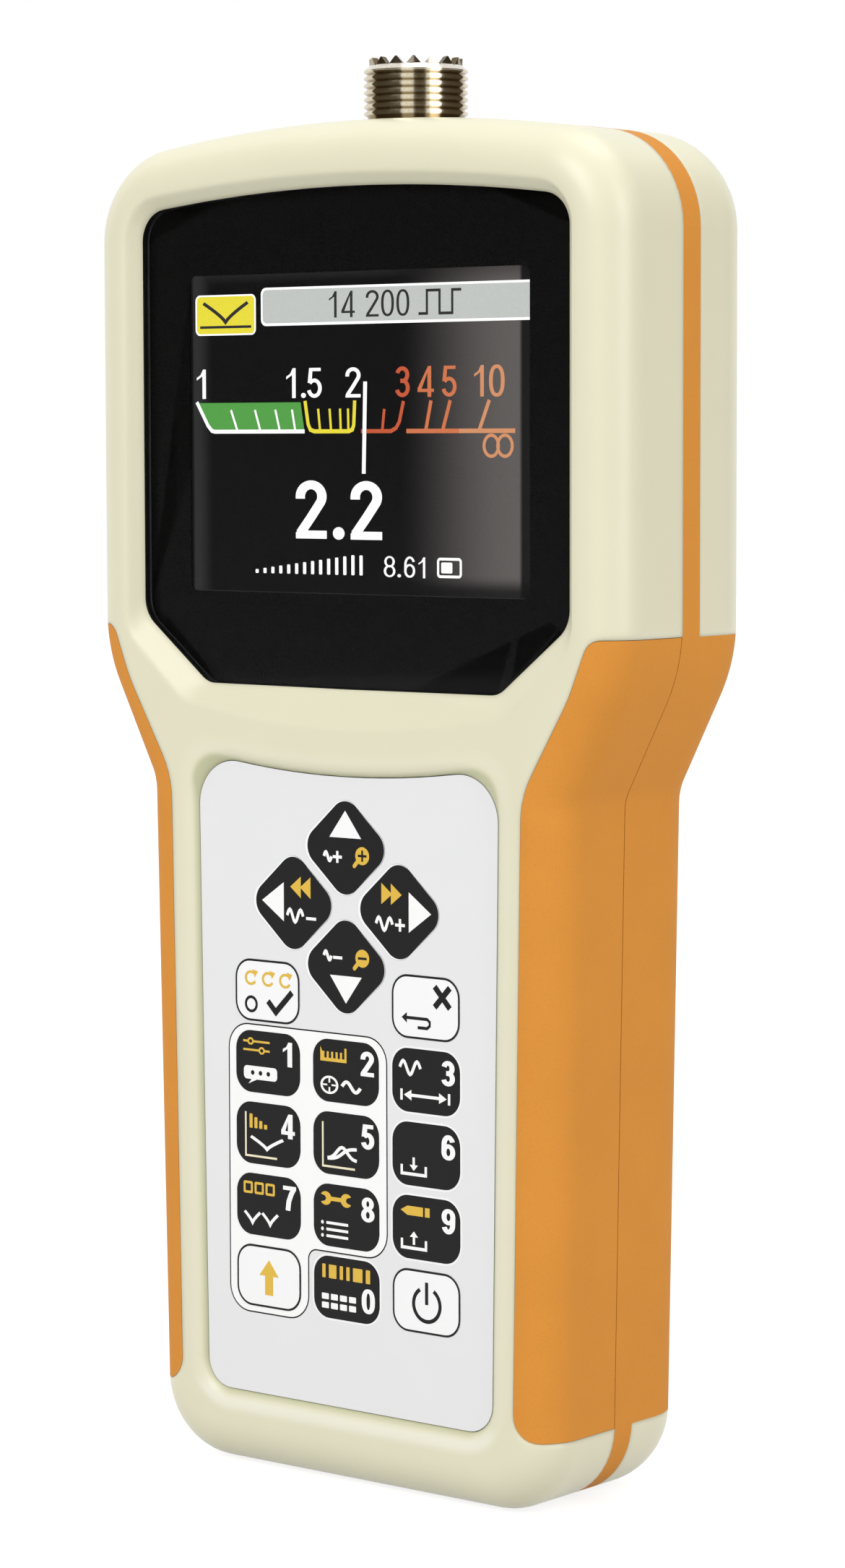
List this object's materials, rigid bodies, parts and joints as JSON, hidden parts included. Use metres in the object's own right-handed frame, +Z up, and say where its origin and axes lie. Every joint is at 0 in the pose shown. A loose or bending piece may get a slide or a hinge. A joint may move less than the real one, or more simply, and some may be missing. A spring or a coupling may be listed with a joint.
{
  "type": "antenna analyzer",
  "caption": "Hand-held antenna analyzer with a colour display, a membrane keypad, soft side grips and a threaded antenna socket on top.",
  "frame": {"origin": "middle of the bottom end, at half the width and half the depth", "axes": "+Z up along the length towards the antenna socket, -Y out of the front with the display, +X to the right seen from the front"},
  "size_m": [0.103, 0.037, 0.2166],
  "materials": {
    "case_cream": "fine satin",
    "grip_orange": "matte, slightly granular",
    "window_clear": "polished",
    "mask_black": "printed film",
    "tape_black": "foam tape",
    "screen": "lit display",
    "steel": "bright",
    "nickel": "nickel plated",
    "brass": "turned",
    "ptfe": "smooth",
    "overlay_grey": "printed polyester",
    "key_black": "printed polyester",
    "key_white": "printed polyester",
    "film": "translucent film",
    "flex_amber": "polyimide",
    "board_green": "solder mask",
    "black_plastic": "moulded",
    "cell_wrap": "sleeved metal",
    "label_silver": "bare label"
  },
  "bodies": {
    "case": {"front_shell": "case_cream", "rear_shell": "case_cream", "front_grip_right": "grip_orange", "front_grip_left": "grip_orange", "rear_grip_right": "grip_orange", "rear_grip_left": "grip_orange", "rear_label": "label_silver", "display_window": "window_clear", "window_mask": "mask_black", "window_tape": "tape_black", "lcd_panel": "screen", "lcd_frame": "steel", "lcd_screws": "steel", "lcd_flex_cable": "flex_amber", "keypad_overlay": "overlay_grey", "keypad_spacer": "film", "keypad_circuit": "film", "snap_domes": "steel", "main_board": "board_green", "board_chips": "black_plastic", "rf_shield_can": "steel", "display_connector": "black_plastic", "keypad_connector": "black_plastic", "buzzer": "black_plastic", "usb_socket_shell": "steel", "usb_socket_insert": "black_plastic", "antenna_socket_body": "nickel", "antenna_socket_insulator": "ptfe", "antenna_socket_contact": "brass", "antenna_socket_screws": "steel", "socket_bracket": "steel", "battery_cells": "cell_wrap", "battery_springs": "steel", "battery_contacts": "steel", "case_inserts": "brass", "case_screws": "steel"},
    "battery_cover": {"battery_cover": "case_cream"},
    "key_0": {"key_0": "key_black"},
    "key_1": {"key_1": "key_black"},
    "key_2": {"key_2": "key_black"},
    "key_3": {"key_3": "key_black"},
    "key_4": {"key_4": "key_black"},
    "key_5": {"key_5": "key_black"},
    "key_6": {"key_6": "key_black"},
    "key_7": {"key_7": "key_black"},
    "key_8": {"key_8": "key_black"},
    "key_9": {"key_9": "key_black"},
    "key_ok": {"key_ok": "key_white"},
    "key_cancel": {"key_cancel": "key_white"},
    "key_up": {"key_up": "key_black"},
    "key_down": {"key_down": "key_black"},
    "key_left": {"key_left": "key_black"},
    "key_right": {"key_right": "key_black"},
    "key_function": {"key_function": "key_white"},
    "key_power": {"key_power": "key_white"}
  },
  "joints": [
    {"name": "battery_cover_hinge", "type": "hinge", "parent": "case", "child": "battery_cover", "pos_m": [0, 0.0185, 0.0211], "axis": [-1, 0, 0], "range_deg": [0, 75]},
    {"name": "key_0_press", "type": "slide", "parent": "case", "child": "key_0", "axis": [0, 1, 0], "range_m": [0, 0.0003], "stiffness_N_per_m": 600, "deforming": ["snap_domes"]},
    {"name": "key_1_press", "type": "slide", "parent": "case", "child": "key_1", "axis": [0, 1, 0], "range_m": [0, 0.0003], "stiffness_N_per_m": 600, "deforming": ["snap_domes"]},
    {"name": "key_2_press", "type": "slide", "parent": "case", "child": "key_2", "axis": [0, 1, 0], "range_m": [0, 0.0003], "stiffness_N_per_m": 600, "deforming": ["snap_domes"]},
    {"name": "key_3_press", "type": "slide", "parent": "case", "child": "key_3", "axis": [0, 1, 0], "range_m": [0, 0.0003], "stiffness_N_per_m": 600, "deforming": ["snap_domes"]},
    {"name": "key_4_press", "type": "slide", "parent": "case", "child": "key_4", "axis": [0, 1, 0], "range_m": [0, 0.0003], "stiffness_N_per_m": 600, "deforming": ["snap_domes"]},
    {"name": "key_5_press", "type": "slide", "parent": "case", "child": "key_5", "axis": [0, 1, 0], "range_m": [0, 0.0003], "stiffness_N_per_m": 600, "deforming": ["snap_domes"]},
    {"name": "key_6_press", "type": "slide", "parent": "case", "child": "key_6", "axis": [0, 1, 0], "range_m": [0, 0.0003], "stiffness_N_per_m": 600, "deforming": ["snap_domes"]},
    {"name": "key_7_press", "type": "slide", "parent": "case", "child": "key_7", "axis": [0, 1, 0], "range_m": [0, 0.0003], "stiffness_N_per_m": 600, "deforming": ["snap_domes"]},
    {"name": "key_8_press", "type": "slide", "parent": "case", "child": "key_8", "axis": [0, 1, 0], "range_m": [0, 0.0003], "stiffness_N_per_m": 600, "deforming": ["snap_domes"]},
    {"name": "key_9_press", "type": "slide", "parent": "case", "child": "key_9", "axis": [0, 1, 0], "range_m": [0, 0.0003], "stiffness_N_per_m": 600, "deforming": ["snap_domes"]},
    {"name": "key_ok_press", "type": "slide", "parent": "case", "child": "key_ok", "axis": [0, 1, 0], "range_m": [0, 0.0003], "stiffness_N_per_m": 600, "deforming": ["snap_domes"]},
    {"name": "key_cancel_press", "type": "slide", "parent": "case", "child": "key_cancel", "axis": [0, 1, 0], "range_m": [0, 0.0003], "stiffness_N_per_m": 600, "deforming": ["snap_domes"]},
    {"name": "key_up_press", "type": "slide", "parent": "case", "child": "key_up", "axis": [0, 1, 0], "range_m": [0, 0.0003], "stiffness_N_per_m": 600, "deforming": ["snap_domes"]},
    {"name": "key_down_press", "type": "slide", "parent": "case", "child": "key_down", "axis": [0, 1, 0], "range_m": [0, 0.0003], "stiffness_N_per_m": 600, "deforming": ["snap_domes"]},
    {"name": "key_left_press", "type": "slide", "parent": "case", "child": "key_left", "axis": [0, 1, 0], "range_m": [0, 0.0003], "stiffness_N_per_m": 600, "deforming": ["snap_domes"]},
    {"name": "key_right_press", "type": "slide", "parent": "case", "child": "key_right", "axis": [0, 1, 0], "range_m": [0, 0.0003], "stiffness_N_per_m": 600, "deforming": ["snap_domes"]},
    {"name": "key_function_press", "type": "slide", "parent": "case", "child": "key_function", "axis": [0, 1, 0], "range_m": [0, 0.0003], "stiffness_N_per_m": 600, "deforming": ["snap_domes"]},
    {"name": "key_power_press", "type": "slide", "parent": "case", "child": "key_power", "axis": [0, 1, 0], "range_m": [0, 0.0003], "stiffness_N_per_m": 600, "deforming": ["snap_domes"]}
  ]
}
